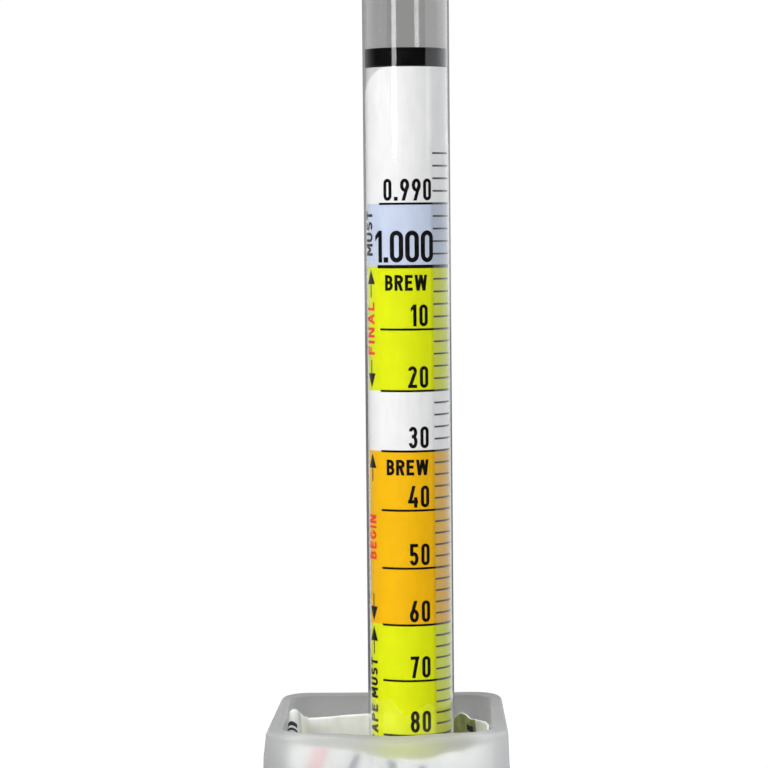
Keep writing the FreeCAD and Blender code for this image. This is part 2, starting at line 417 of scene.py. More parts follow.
def ink_material(name, colour):
    """Printing ink with slightly thin patches."""
    stops = [(0.35, colour), (0.75, tuple(c * 1.5 + 0.006 for c in colour))]
    return mottled(name, 5000.0, 4.0, 0.7, stops, (0.38, 0.55), Specular_IOR_Level=0.08)


def frosted_material():
    """Milky polypropylene: a matt skin that scatters what is behind it. Towards the rear wall the
    colour is darkened as painted shade."""
    n = Nodes("case_plastic")
    cloud = n.noise(120.0, 4.0, 0.55, n.stretched((1.0, 1.0, 0.3)))
    milk = n.ramp(cloud, [(0.3, (0.925, 0.93, 0.93)), (0.75, (0.975, 0.975, 0.97))])
    haze = n.noise(2500.0, 3.0, 0.6)
    # painted shade: the colour is darker towards the rear wall
    rear_shade = n.spread(n.along("Y"), 1.0, REAR_WALL_SHADE, REAR_SHADE_START, REAR_SHADE_END)
    shader = n.principled(
        Transmission_Weight=0.835,
        IOR=1.38,
        Coat_Weight=0.4,
        Coat_Roughness=0.12,
        Base_Color=n.scaled(milk, rear_shade),
        Roughness=n.spread(haze, 0.48, 0.58),
        Normal=n.bump(haze, 0.00001),
    )
    return n.finish(n.clear_to_lamps(shader, (0.72, 0.74, 0.75)))


def foam_material():
    """Open-cell foam."""
    n = Nodes("pad_foam")
    inputs = {"Scale": 2600.0, "Vector": n.position()}
    cells = n.add("ShaderNodeTexVoronoi", inputs).outputs["Distance"]
    stops = [(0.1, (0.45, 0.45, 0.44)), (0.6, (0.86, 0.86, 0.84))]
    shader = n.principled(
        Roughness=0.95, Base_Color=n.ramp(cells, stops), Normal=n.bump(cells, 0.0002)
    )
    return n.finish(shader)


def dress_cad_nodes():
    """Dull, slightly tarnished steel for the shot, and streaky dark red sealing wax."""
    steel_stops = [(0.35, (0.36, 0.35, 0.34)), (0.7, (0.62, 0.62, 0.63))]
    steel = mottled("shot_steel", 900.0, 4.0, 0.6, steel_stops, (0.22, 0.42), Metallic=1.0)
    wax_stops = [(0.3, (0.22, 0.02, 0.012)), (0.7, (0.42, 0.05, 0.03))]
    wax_body = dict(Subsurface_Weight=0.15, Subsurface_Scale=0.0008)
    wax = mottled("seal_wax", 350.0, 5.0, 0.6, wax_stops, (0.3, 0.5), 0.0002, **wax_body)
    for node, material in (("ballast_shot", steel), ("ballast_wax", wax)):
        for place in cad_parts[node].material_slots:
            place.material = material


# --- glass


def float_profile(bulb, stem, nose_z, tip_z):
    """Outline of the float from nose to tip, as (radius, height) points."""
    spread = SHOULDER_ROUND + SHOULDER_HOLLOW
    outer_turn = math.acos(1 - (BULB_RADIUS - STEM_RADIUS) / spread)
    shoulder_z = STEM_LOW_Z - spread * math.sin(outer_turn)
    turn = math.acos(1 - (bulb - stem) / spread)
    degrees = math.degrees(turn)
    stem_low = shoulder_z + spread * math.sin(turn)
    points = arc((0, nose_z + bulb), bulb, -90, 0, 20)
    points += [mix((bulb, nose_z + bulb), (bulb, shoulder_z), k / 8) for k in range(1, 8)]
    points += arc((bulb - SHOULDER_ROUND, shoulder_z), SHOULDER_ROUND, 0, degrees, 14)
    points += arc((stem + SHOULDER_HOLLOW, stem_low), SHOULDER_HOLLOW, 180 + degrees, 180, 12)[1:]
    points += [mix((stem, stem_low), (stem, tip_z - stem), k / 8) for k in range(1, 8)]
    points += arc((0, tip_z - stem), stem, 0, 90, 16)
    return points


def make_glass():
    """Blown shell: outside surface and the sealed cavity inside it."""
    outside = float_profile(BULB_RADIUS, STEM_RADIUS, GLASS_LOW.z, GLASS_HIGH.z)
    radii = (BULB_RADIUS - BULB_WALL, STEM_RADIUS - STEM_WALL)
    inside = float_profile(*radii, GLASS_LOW.z + BULB_WALL, GLASS_HIGH.z - TIP_WALL)
    points, faces = revolve(outside, GLASS_SEGMENTS)
    inner_points, inner_faces = revolve(inside, GLASS_SEGMENTS)
    count = len(points)
    faces += [tuple(count + i for i in reversed(face)) for face in inner_faces]
    piece = mesh_object("glass_float", points + inner_points, faces, [glass_material()])
    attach(piece, "hydrometer")
    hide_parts("glass_envelope")


# --- rolled paper scale


def mark_z(gravity):
    """Height of a gravity mark. The few marks above 1.000 are printed at an even spacing, and
    the lowest are a touch wider apart, as on a stem that narrows slightly."""
    if gravity < 1.0:
        return UNITY_Z + SCALE_ABOVE_UNITY * SCALE_CONSTANT * (1 - gravity)
    depth = SCALE_CONSTANT * (1 - 1 / gravity)
    return UNITY_Z - depth * (1 + SCALE_STRETCH * depth)


def sheet_radius(turned):
    """Radius of the rolled sheet's outer face after turning from its outer edge."""
    return PAPER_OUTER_RADIUS - PAPER_PITCH * turned / 360.0


def corner_top(turned):
    """Top of the sheet, cut round at its outer corner."""
    edge, here = cos_sin(PAPER_EDGE_ANGLE)[1], cos_sin(PAPER_EDGE_ANGLE + turned)[1]
    across = PAPER_OUTER_RADIUS * (here - edge)
    if across >= PAPER_CORNER_WIDTH or turned > 90.0:
        return PAPER_HIGH.z
    share = 1.0 - across / PAPER_CORNER_WIDTH
    return PAPER_HIGH.z - PAPER_CORNER_DROP * (1.0 - math.sqrt(1.0 - share**2))


def face_kind(zone, turned):
    """Colour of the sheet's printed side: bare white at its outer margin; under its overlap grey
    at the top, and dark grey below it as painted shadow between the layers.
    """
    if turned > PAPER_HIDDEN_TURN:
        # under the overlap, below the top: painted shadow between the layers
        return "back" if zone == "top" else "gap"
    return "white" if turned < PRINT_MARGIN or zone == "top" else zone


def make_paper():
    """Rolled sheet with its colour zones, as front faces, back faces and cut edges."""
    colours = {
        "white": (0.88, 0.875, 0.885),
        "lime": (0.76, 0.84, 0.002),
        "orange": (0.92, 0.50, 0.001),
        "blue": (0.60, 0.67, 0.84),
        "back": (0.66, 0.66, 0.65),
        # the dark grey under the overlap is painted shadow between the layers of the roll
        "gap": (0.30, 0.30, 0.30),
    }
    materials = []
    for name, colour in colours.items():
        # factor of painted shade on the side of the stem away from the light
        shade_factor = WHITE_PAINTED_SHADE if name == "white" else COLOURED_PAINTED_SHADE
        materials.append(paper_material(f"paper_{name}", colour, painted_shade=shade_factor))
    zone_tops = [
        (mark_z(LOWEST_GRAVITY) - 1.0, "white"),
        (mark_z(1.060), "lime"),
        (mark_z(1.030), "orange"),
        (mark_z(1.020), "white"),
        (mark_z(1.000), "lime"),
        (mark_z(0.990), "blue"),
        (PAPER_HIGH.z - PAPER_CORNER_DROP, "white"),
        (None, "top"),
    ]
    heights = [PAPER_LOW.z] + [top for top, _ in zone_tops[:-1]]
    # the first columns are close together, to follow the cut corner
    turns = [PAPER_TURN * (k / PAPER_COLUMNS) ** PAPER_CROWDING for k in range(PAPER_COLUMNS + 1)]
    points = []
    sides = [[], []]
    for turned in turns:
        column = heights + [corner_top(turned)]
        for side, depth in zip(sides, (0.0, PAPER_THICKNESS)):
            side.append([len(points) + k for k in range(len(column))])
            radius = sheet_radius(turned) - depth
            points += [around_stem(radius, PAPER_EDGE_ANGLE + turned, z) for z in column]
    front, back = sides
    faces = []
    kinds = []
    for step, turned in enumerate(turns[:-1]):
        a, b = front[step], front[step + 1]
        c, d = back[step], back[step + 1]
        for row, (_, name) in enumerate(zone_tops):
            faces.append((a[row], b[row], b[row + 1], a[row + 1]))
            faces.append((c[row], c[row + 1], d[row + 1], d[row]))
            kinds += [face_kind(name, turned), "back"]
        faces += [(a[0], c[0], d[0], b[0]), (a[-1], b[-1], d[-1], c[-1])]
        kinds += ["back", "back"]
    for column, other, flip in ((front[0], back[0], False), (front[-1], back[-1], True)):
        for row in range(len(zone_tops)):
            quad = (column[row], column[row + 1], other[row + 1], other[row])
            faces.append(tuple(reversed(quad)) if flip else quad)
            kinds.append("back")
    piece = mesh_object("scale_paper_roll", points, faces, materials, sharp=50)
    names = list(colours)
    piece.data.polygons.foreach_set("material_index", [names.index(k) for k in kinds])
    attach(piece, "hydrometer")
    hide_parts("scale_paper")


def make_band():
    """Black ring on top of the paper, dull and faintly ribbed, with softened edges."""
    outer = BAND_HIGH.x - STEM_X
    inner = outer - BAND_THICKNESS
    eased = outer - BAND_EASE
    low, high = BAND_LOW.z, BAND_HIGH.z
    profile = [(inner, low), (eased, low), (outer, low + BAND_EASE), (outer, high - BAND_EASE)]
    profile += [(eased, high), (inner, high), (inner, low)]
    stops = [(0.3, (0.001, 0.001, 0.001)), (0.8, (0.005, 0.0045, 0.0045))]
    dull = dict(relief=0.000008, Specular_IOR_Level=0.08)
    black = mottled("band_black", 4000.0, 3.0, 0.6, stops, (0.35, 0.5), **dull)
    piece = mesh_object("scale_ring", *revolve(profile, 128), [black], sharp=35)
    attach(piece, "hydrometer")
    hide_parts("scale_band")


# --- lettering as strokes
# A strip is a list of (left, right) point pairs in the glyph's own plane, x to the right and y
# up. Printing wraps it round the paper. A glyph is w wide and h high, with strokes t thick.

INK_LIFT = 0.006
INK_STEP = 0.12
SPACE_SHARE = 0.35


def box(x0, y0, x1, y1):
    """Level rectangle."""
    return [((x0, y1), (x0, y0)), ((x1, y1), (x1, y0))]


def slant(low, high, thickness):
    """Sloping bar with level ends, given the middles of its two ends."""
    run = (high[0] - low[0]) / (high[1] - low[1])
    half = thickness / 2 * math.sqrt(1 + run * run)
    return [((x - half, y), (x + half, y)) for x, y in (low, high)]


def bow(cx, cy, rx, ry, start, end, thickness, steps=14):
    """Curved stroke along part of an ellipse."""
    pairs = []
    for step in range(steps + 1):
        c, s = cos_sin(start + (end - start) * step / steps)
        # the normal of an ellipse at this point
        nx, ny = c / rx, s / ry
        size = math.hypot(nx, ny)
        nx, ny = nx / size * thickness / 2, ny / size * thickness / 2
        x, y = cx + rx * c, cy + ry * s
        pairs.append(((x + nx, y + ny), (x - nx, y - ny)))
    return pairs


def ring(cx, cy, rx, ry, thickness):
    """Closed ellipse stroke."""
    return bow(cx, cy, rx, ry, 0, 360, thickness, 36)


def bowls(share, h, t):
    """Waist height, and the half heights of the bowls above and below it."""
    waist = share * h
    return waist, (h - t / 2 - waist) / 2, (waist - t / 2) / 2


def lobe(w, y0, y1, t):
    """Right-hand bowl of a B, P or R between two heights."""
    ry = (y1 - y0 - t) / 2
    rx = min(ry, w * 0.42)
    cx = w - t / 2 - rx
    ends = [box(t * 0.5, y1 - t, cx, y1), box(t * 0.5, y0, cx, y0 + t)]
    return ends + [bow(cx, (y0 + y1) / 2, rx, ry, 90, -90, t)]


def digit_0(w, h, t):
    r = (w - t) / 2
    ry = min(r * 1.15, (h - t) / 2)
    low, high = t / 2 + ry, h - t / 2 - ry
    ends = [bow(w / 2, high, r, ry, 0, 180, t), bow(w / 2, low, r, ry, 180, 360, t)]
    return ends + [box(0, low, t, high), box(w - t, low, w, high)]


def digit_1(w, h, t):
    flag = [((x, y), (x, y - 1.25 * t)) for x, y in ((0.12 * w, 0.84 * h), (w - t * 0.9, h))]
    return [box(w - t, 0, w, h), flag]


def digit_2(w, h, t):
    r = (w - t) / 2
    ry = r * 1.2
    cy = h - t / 2 - ry
    c, s = cos_sin(-28)
    end = (w / 2 + r * c - t * 0.02, cy + ry * s)
    leg = slant((t * 0.62, t * 0.5), end, t)
    return [bow(w / 2, cy, r, ry, 172, -28, t), leg, box(0, 0, w, t)]


def digit_3(w, h, t):
    r = (w - t) / 2
    waist, top, low = bowls(0.54, h, t)
    return [
        bow(w / 2, waist + top, r * 0.94, top, 165, -90, t),
        bow(w / 2, t / 2 + low, r, low, 90, -165, t),
        box(w * 0.36, waist - t / 2, w / 2, waist + t / 2),
    ]


def digit_4(w, h, t):
    bar, stem = 0.19 * h, w * 0.60
    leg = slant((t * 0.55, bar), (stem, h), t)
    return [leg, box(0, bar, w, bar + t), box(stem, 0, stem + t, 0.48 * h)]


def digit_5(w, h, t):
    ry = (0.62 * h - t) / 2
    bowl = bow(w / 2, t / 2 + ry, (w - t) / 2, ry, 148, -160, t, 24)
    return [box(w * 0.08, h - t, w * 0.96, h), box(w * 0.06, 0.47 * h, w * 0.06 + t, h), bowl]


def digit_6(w, h, t):
    ry = (0.60 * h - t) / 2
    leg = slant((t * 0.60, t / 2 + ry * 1.12), (w * 0.66, h), t)
    return [ring(w / 2, t / 2 + ry, (w - t) / 2, ry, t), leg]


def digit_7(w, h, t):
    return [box(0, h - t, w, h), slant((w * 0.34, 0), (w - t * 0.62, h - t * 0.5), t)]


def digit_8(w, h, t):
    r = (w - t) / 2
    waist, top, low = bowls(0.53, h, t)
    return [ring(w / 2, waist + top, r * 0.92, top, t), ring(w / 2, t / 2 + low, r, low, t)]


def digit_9(w, h, t):
    # a 6 turned over
    return [[((w - a, h - b), (w - c, h - d)) for (a, b), (c, d) in s] for s in digit_6(w, h, t)]


def letter_a(w, h, t):
    legs = [slant((x, 0), (w / 2, h), t) for x in (t * 0.55, w - t * 0.55)]
    return legs + [box(w * 0.22, 0.22 * h, w * 0.78, 0.22 * h + t * 0.9)]


def letter_b(w, h, t):
    waist = 0.52 * h
    strips = [box(0, 0, t, h)] + lobe(w * 0.95, waist - t / 2, h, t)
    return strips + lobe(w, 0, waist + t / 2, t)


def letter_e(w, h, t):
    return letter_f(w, h, t) + [box(t * 0.5, 0, w, t)]


def letter_f(w, h, t):
    waist = 0.53 * h
    arms = [box(t * 0.5, h - t, w, h), box(t * 0.5, waist - t / 2, w * 0.9, waist + t / 2)]
    return [box(0, 0, t, h)] + arms


def letter_g(w, h, t):
    bar = 0.44 * h
    curve = bow(w / 2, h / 2, (w - t) / 2, (h - t) / 2, 42, 335, t, 30)
    return [curve, box(w * 0.55, bar - t / 2, w, bar + t / 2), box(w - t, 0.25 * h, w, bar)]


def letter_i(w, h, t):
    return [box(0, 0, w, h)]


def letter_l(w, h, t):
    return [box(0, 0, t, h), box(t * 0.5, 0, w, t)]


def letter_m(w, h, t):
    middle = (w / 2, 0.22 * h)
    slopes = [slant(middle, (x, h), t) for x in (t * 0.62, w - t * 0.62)]
    return [box(0, 0, t, h), box(w - t, 0, w, h)] + slopes


def letter_n(w, h, t):
    return [box(0, 0, t, h), box(w - t, 0, w, h), slant((w - t * 0.62, 0), (t * 0.62, h), t)]


def letter_p(w, h, t):
    return [box(0, 0, t, h)] + lobe(w, 0.44 * h, h, t)


def letter_r(w, h, t):
    return letter_p(w, h, t) + [slant((w - t * 0.55, 0), (w * 0.52, 0.5 * h), t)]


def letter_s(w, h, t):
    r = (w - t) / 2
    waist, top, low = bowls(0.52, h, t)
    upper = bow(w / 2, waist + top, r * 0.95, top, 25, 270, t, 22)
    return [upper, bow(w / 2, t / 2 + low, r, low, 90, -155, t, 22)]


def letter_t(w, h, t):
    return [box(0, h - t, w, h), box(w / 2 - t / 2, 0, w / 2 + t / 2, h)]


def letter_u(w, h, t):
    r = (w - t) / 2
    low = t / 2 + r * 1.1
    sides = [box(0, low, t, h), box(w - t, low, w, h)]
    return sides + [bow(w / 2, low, r, r * 1.1, 180, 360, t)]


def letter_w(w, h, t):
    ends = ((0.27 * w, t * 0.55), (0.27 * w, w / 2), (0.73 * w, w / 2), (0.73 * w, w - t * 0.55))
    return [slant((low, 0), (high, h), t) for low, high in ends]


# each glyph's width as a share of its height, and the function that draws it
GLYPHS = {
    "0": (0.41, digit_0),
    "1": (0.30, digit_1),
    "2": (0.41, digit_2),
    "3": (0.41, digit_3),
    "4": (0.46, digit_4),
    "5": (0.41, digit_5),
    "6": (0.42, digit_6),
    "7": (0.40, digit_7),
    "8": (0.42, digit_8),
    "9": (0.42, digit_9),
    ".": (0.13, letter_i),
    "A": (0.72, letter_a),
    "B": (0.62, letter_b),
    "E": (0.56, letter_e),
    "F": (0.54, letter_f),
    "G": (0.68, letter_g),
    "I": (0.19, letter_i),
    "L": (0.54, letter_l),
    "M": (0.80, letter_m),
    "N": (0.66, letter_n),
    "P": (0.62, letter_p),
    "R": (0.64, letter_r),
    "S": (0.60, letter_s),
    "T": (0.60, letter_t),
    "U": (0.64, letter_u),
    "W": (0.98, letter_w),
}


def paper_u(angle):
    """Arc length round the paper at an angle."""
    return math.radians(angle) * PAPER_OUTER_RADIUS


def as_it_is(point):
    """Place for strips that are already in arc length and height."""
    return point


class Print:
    """Collects strokes and wraps them round the paper as one thin mesh."""

    def __init__(self):
        self.points = []
        self.faces = []

    def strip(self, pairs, place=as_it_is):
        """Add one strip; place turns a glyph point into (arc length, height)."""
        placed = [(place(a), place(b)) for a, b in pairs]
        fine = []
        for (a0, b0), (a1, b1) in zip(placed, placed[1:]):
            reach = max(abs(a1[0] - a0[0]), abs(b1[0] - b0[0]))
            parts = max(1, math.ceil(reach / INK_STEP))
            fine += [(mix(a0, a1, k / parts), mix(b0, b1, k / parts)) for k in range(parts)]
        fine.append(placed[-1])
        across = max(abs(a[0] - b[0]) for a, b in fine)
        lanes = max(1, math.ceil(across / (INK_STEP * 2)))
        start = len(self.points)
        for a, b in fine:
            for lane in range(lanes + 1):
                u, z = mix(a, b, lane / lanes)
                angle = math.degrees(u / PAPER_OUTER_RADIUS)
                radius = sheet_radius((angle - PAPER_EDGE_ANGLE) % 360.0) + INK_LIFT
                self.points.append(around_stem(radius, angle, z))
        self.faces += grid(start, len(fine), lanes + 1)

    def text(self, words, height, stroke, gap, anchor, upright=True, align="right", squeeze=1.0):
        """Draw words, upright or reading upwards. anchor is (angle, z) of the base line's right
        end or middle."""
        pen = 0.0
        glyphs = []
        for char in words:
            if char == " ":
                pen += SPACE_SHARE * height * squeeze
                continue
            share, draw = GLYPHS[char]
            width = share * height * squeeze
            if char == ".":
                width = max(width, stroke * 1.15)
            glyphs.append((pen, draw(width, width if char == "." else height, stroke)))
            pen += width + gap
        shift = -(pen - gap) / (1 if align == "right" else 2)
        base_u = paper_u(anchor[0])
        for start, strips in glyphs:

            def place(point, start=start):
                x, y = point[0] + start + shift, point[1]
                if upright:
                    return base_u + x, anchor[1] + y
                return base_u - y, anchor[1] + x

            for pairs in strips:
                self.strip(pairs, place)

    def line(self, angle_from, angle_to, height, thickness):
        """Level line between two angles."""
        half = thickness / 2
        self.strip(box(paper_u(angle_from), height - half, paper_u(angle_to), height + half))

    def arrow(self, tip_z, way):
        """Upright arrow beside a zone; way is 1 for one that points up and -1 for down."""
        u = paper_u(ARROW_ANGLE)
        neck = tip_z - way * ARROW_HEAD
        end = neck - way * ARROW_SHAFT
        sharp = ARROW_HALF_WIDTH * 0.02
        for half, low, wide, high in (
            (sharp, tip_z, ARROW_HALF_WIDTH, neck),
            (ARROW_SHAFT_WIDTH / 2, neck, ARROW_SHAFT_WIDTH / 2, end),
        ):
            self.strip([((u - half, low), (u + half, low)), ((u - wide, high), (u + wide, high))])

    def finish(self, name, material, slot):
        """Make the mesh."""
        piece = mesh_object(name, self.points, self.faces, [material])
        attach(piece, "hydrometer")


# --- what is printed on the scale

TICK_START = 38.3
TICK_END = 97.0
LINE_START = -40.8
UNITY_LINE_START = -44.5
TICK_WIDTH = 0.155
LINE_WIDTH = 0.18
UNITY_LINE_WIDTH = 0.28
NUMBER_HEIGHT = 1.80
NUMBER_STROKE = 0.275
NUMBER_GAP = 0.24
NUMBER_ABOVE_LINE = 0.25
NUMBER_END = 28.9
UNITY_NUMBER_HEIGHT = 2.62
UNITY_NUMBER_STROKE = 0.375
UNITY_NUMBER_ABOVE_LINE = 0.34
SMALL_NUMBER_HEIGHT = 1.44
SMALL_NUMBER_STROKE = 0.18
SMALL_NUMBER_GAP = 0.2
SMALL_NUMBER_DROP = 0.63
WORD_HEIGHT = 1.30
WORD_STROKE = 0.255
SIDE_WORD_HEIGHT = 1.02
SIDE_WORD_STROKE = 0.23
SIDE_BASE_ANGLE = -51.5
ARROW_ANGLE = -59.0
ARROW_HEAD = 1.2
ARROW_SHAFT = 1.1
ARROW_HALF_WIDTH = 0.52
ARROW_SHAFT_WIDTH = 0.13


def gravity_column(marks, numbers):
    """Main scale: a line every 0.010 with a number, and a tick every 0.002."""
    for step in range(-9, round((LOWEST_GRAVITY - 1) * 500) + 1):
        z = mark_z(1 + step * 0.002)
        if step == 0:
            marks.line(UNITY_LINE_START, TICK_END, z, UNITY_LINE_WIDTH)
        elif step % 5 == 0:
            marks.line(LINE_START, TICK_END, z, LINE_WIDTH)
        else:
            marks.line(TICK_START, TICK_END, z, TICK_WIDTH)
    for points in range(10, round((LOWEST_GRAVITY - 1) * 1000) + 1, 10):
        z = mark_z(1 + points / 1000) + NUMBER_ABOVE_LINE
        label = str(points) if points < 100 else f"1.{points}"
        numbers.text(label, NUMBER_HEIGHT, NUMBER_STROKE, NUMBER_GAP, (NUMBER_END, z))
    z = mark_z(0.990) + NUMBER_ABOVE_LINE
    numbers.text("0.990", NUMBER_HEIGHT, NUMBER_STROKE, 0.20, (35.8, z))
    size = (UNITY_NUMBER_HEIGHT, UNITY_NUMBER_STROKE, 0.15)
    z = mark_z(1.000) + UNITY_NUMBER_ABOVE_LINE
    numbers.text("1.000", *size, (38.4, z), squeeze=1.06)


def side_word(ink, word, gap, squeeze, anchor, align="middle"):
    """Word that reads upwards, to the left of the main column."""
    shape = dict(upright=False, align=align, squeeze=squeeze)
    ink.text(word, SIDE_WORD_HEIGHT, SIDE_WORD_STROKE, gap, anchor, **shape)


def zone_words(marks, words, red):
    """Zone names beside the main column, with the arrows that show each zone's ends."""
    for top in (1.0, 1.03):
        anchor = (28.5, mark_z(top) - 1.98)
        words.text("BREW", WORD_HEIGHT, WORD_STROKE, 0.14, anchor, squeeze=0.87)
    middle = (mark_z(0.99) + mark_z(1.0)) / 2
    side_word(words, "MUST", 0.15, 1.2, (SIDE_BASE_ANGLE - 3.0, middle + 0.15))
    middle = (mark_z(1.0) + mark_z(1.02)) / 2
    side_word(red, "FINAL", 0.24, 1.25, (SIDE_BASE_ANGLE, middle))
    middle = (mark_z(1.03) + mark_z(1.06)) / 2
    side_word(red, "BEGIN", 0.20, 1.05, (SIDE_BASE_ANGLE, middle))
    top = mark_z(1.06) - 2.9
    side_word(words, "GRAPE MUST", 0.17, 1.05, (SIDE_BASE_ANGLE, top), align="right")
    for top, low in ((1.0, 1.02), (1.03, 1.06), (1.06, 1.09)):
        marks.arrow(mark_z(top) - 0.25, 1)
        marks.arrow(mark_z(low) + 0.22, -1)


def small_column(marks, numbers, heights, line_start, tick_start, line_end, number_end):
    """Column with a short line at each height, and a longer line and a number at every fifth."""
    for count, z in heights:
        start = line_start if count % 5 == 0 else tick_start
        marks.line(start, line_end, z, TICK_WIDTH)
        if count % 5 == 0:
            size = (SMALL_NUMBER_HEIGHT, SMALL_NUMBER_STROKE, SMALL_NUMBER_GAP)
            numbers.text(str(count), *size, (number_end, z - SMALL_NUMBER_DROP))


def print_scale():
    """All ink on the paper: lines, numbers, black words and red words. On the far side are
    grams of sugar per 100 g, and behind the left edge the possible strength in per cent."""
    black = ink_material("ink_black", (0.003, 0.0025, 0.0025))
    red_ink = ink_material("ink_red", (0.75, 0.045, 0.012))
    marks, numbers, words, red = Print(), Print(), Print(), Print()
    gravity_column(marks, numbers)
    zone_words(marks, words, red)
    sugar = [(count, mark_z(1 + count / (258.6 - 0.88 * count))) for count in range(-1, 31)]
    small_column(marks, numbers, sugar, 168.0, 184.0, 206.0, 164.0)
    strength = [(count, mark_z(1 + count * 0.0075)) for count in range(17)]
    small_column(marks, numbers, strength, -128.0, -112.0, -92.0, -132.0)
    marks.finish("scale_marks", black, "ink_black")
    numbers.finish("scale_numbers", black, "ink_black")
    words.finish("scale_words", black, "ink_black")
    red.finish("scale_words_red", red_ink, "ink_red")


# --- storage case


def level(x, y):
    """Height that is the same everywhere."""
    return 0.0


def square_ring(half, corner, z, dip=level):
    """Rounded-square loop, lowered by a function of x and y."""
    flat = half - corner
    loop = []
    for turn, (x, y) in enumerate(((flat, -flat), (flat, flat), (-flat, flat), (-flat, -flat))):
        loop += arc((x, y), corner, 90 * turn - 90, 90 * turn, 12)
    fine = []
    for a, b in zip(loop, loop[1:] + loop[:1]):
        parts = 10 if math.dist(a, b) > flat else 1
        fine += [mix(a, b, k / parts) for k in range(parts)]
    return [(x, y, z - dip(x, y)) for x, y in fine]


def rim_dip(x, y):
    """The moulded rim isn't quite level: it falls to the front and sags in its middle."""
    forward = (CASE_HALF - y) / (2 * CASE_HALF)
    near_front = max(0.0, 1.0 - (1.0 - forward) * 5.0)
    sag = RIM_SAG * (1.0 - (x / CASE_HALF) ** 2) + RIM_NOTCH * math.exp(-(((x - 0.6) / 2.8) ** 2))
    return RIM_FALL * forward + sag * near_front


def lean_in(loop):
    """Side walls brought together a little towards the rim, most of all at the back."""
    leaned = []
    for x, y, z in loop:
        back = (y + CASE_HALF) / (2 * CASE_HALF)
        in_front, added, depth = LEFT_LEAN if x < 0 else RIGHT_LEAN
        lean = in_front + added * back
        share = min(1.0, max(0.0, 1.0 - (RIM_Z - z) / depth))
        leaned.append((x * (1.0 - lean * share * share * (3 - 2 * share)), y, z))
    return leaned


def make_case():
    """Thick-walled tube: outer skin, rounded rim, inner skin and base, as one closed surface."""

    def outer(inset, z, dip=level):
        return square_ring(CASE_HALF - inset, CASE_CORNER - inset, z, dip)

    def inner(inset, z, dip=level):
        return square_ring(CASE_INNER_HALF - inset, CASE_INNER_CORNER - inset, z, dip)

    loops = []
    for c, s in map(cos_sin, range(0, 91, 15)):
        loops.append(outer(FOOT_ROUND * (1 - s), FOOT_ROUND * (1 - c)))
    side_top = RIM_Z - RIM_ROUND
    lean_start = RIM_Z - RIGHT_LEAN[2]
    for step in range(1, 13):
        loops.append(outer(0, FOOT_ROUND + (lean_start - FOOT_ROUND) * step / 12))
    for step in range(1, 8):
        z = lean_start + (side_top - RIM_STRAIGHT - lean_start) * step / 7
        loops.append(lean_in(outer(0, z)))
    for c, s in map(cos_sin, range(0, 91, 10)):
        loops.append(lean_in(outer(RIM_ROUND * (1 - c), side_top + RIM_ROUND * s, rim_dip)))
    for c, s in map(cos_sin, range(90, -1, -15)):
        loops.append(inner(-RIM_LIP * (1 - c), RIM_Z - RIM_LIP * (1 - s), rim_dip))
    lip_z = RIM_Z - RIM_LIP
    for step in range(1, 12):
        loops.append(inner(0, lip_z - (lip_z - CASE_BASE - INNER_FOOT_ROUND) * step / 12))
    for c, s in map(cos_sin, range(0, 91, 15)):
        loops.append(inner(INNER_FOOT_ROUND * (1 - c), CASE_BASE + INNER_FOOT_ROUND * (1 - s)))
    piece = mesh_object("case_shell", *stitched(loops), [frosted_material()], sharp=40)
    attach(piece, "case")
    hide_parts("case_body")


def make_pad():
    """Foam square with soft edges and a dent where the nose stands."""
    half = PAD_HIGH.x
    low, high = PAD_LOW.z, PAD_HIGH.z
    loops = [
        square_ring(half - PAD_EASE, PAD_CORNER, low),
        square_ring(half, PAD_CORNER, low + PAD_EASE),
        square_ring(half, PAD_CORNER, high - PAD_EASE),
    ]
    for share in (0.97, 0.85, 0.7, 0.55, 0.4, 0.25, 0.1):
        loop = []
        for x, y, z in square_ring(half * share, PAD_CORNER * share, high):
            away = math.hypot(x - STEM_X, y)
            z -= PAD_DENT_DEPTH * math.exp(-((away / PAD_DENT_RADIUS) ** 2))
            z -= PAD_UNEVENNESS * noise.noise(Vector((x, y, 3.0)) * 0.6)
            loop.append((x, y, min(z, high)))
        loops.append(loop)
    piece = mesh_object("foam_pad", *stitched(loops), [foam_material()], sharp=60)
    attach(piece, "case")
    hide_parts("base_pad")


# --- leaflet


def leaflet_route():
    """Centre line of the rolled sheet seen from above, from its outer edge on the left round the
    front, right and back to its curled inner edge."""
    side = LEAFLET_SIDE - SHEET_THICKNESS / 2
    r = LEAFLET_CORNER
    route = [(-side, -4.0), (-side, -5.2)]
    route += arc((-side + r, -side + r), r, 180, 270, 8)
    route += [(-3.0, -side), (0.0, -side), (3.0, -side)]
    route += arc((side - r, -side + r), r, 270, 360, 8)
    route += [(side, -3.0), (side, -1.0), (side, 1.0), (8.06, 2.4), (7.9, 3.6), (7.62, 4.7)]
    route += [(7.2, 5.6), (6.65, 6.3), (6.0, 6.72), (5.2, 6.9), (4.0, 6.94), (2.0, 6.94)]
    route += [(0.0, 6.94), (-2.0, 6.9), (-4.0, 6.5), (-6.3, 5.95)]
    route += arc((-6.65, 5.2), 0.7, 100, 180, 5)
    x, y = CURL_CENTRE
    route += [(x + CURL_RADIUS + 0.22, 3.2), (x + CURL_RADIUS + 0.2, 1.6)]
    route += arc((x, y), CURL_RADIUS, 0, -180, 14)
    route += arc((x - 0.1, y), CURL_RADIUS - 0.1, -180, -280, 8)[1:]
    return route


def evenly(route, spacing):
    """Route resampled at an even spacing, as (x, y, length so far)."""
    lengths = [0.0]
    for a, b in zip(route, route[1:]):
        lengths.append(lengths[-1] + math.dist(a, b))
    count = round(lengths[-1] / spacing)
    result = []
    index = 0
    for step in range(count + 1):
        target = lengths[-1] * step / count
        while index < len(lengths) - 2 and lengths[index + 1] < target:
            index += 1
        k = (target - lengths[index]) / (lengths[index + 1] - lengths[index])
        result.append((*mix(route[index], route[index + 1], k), target))
    return result


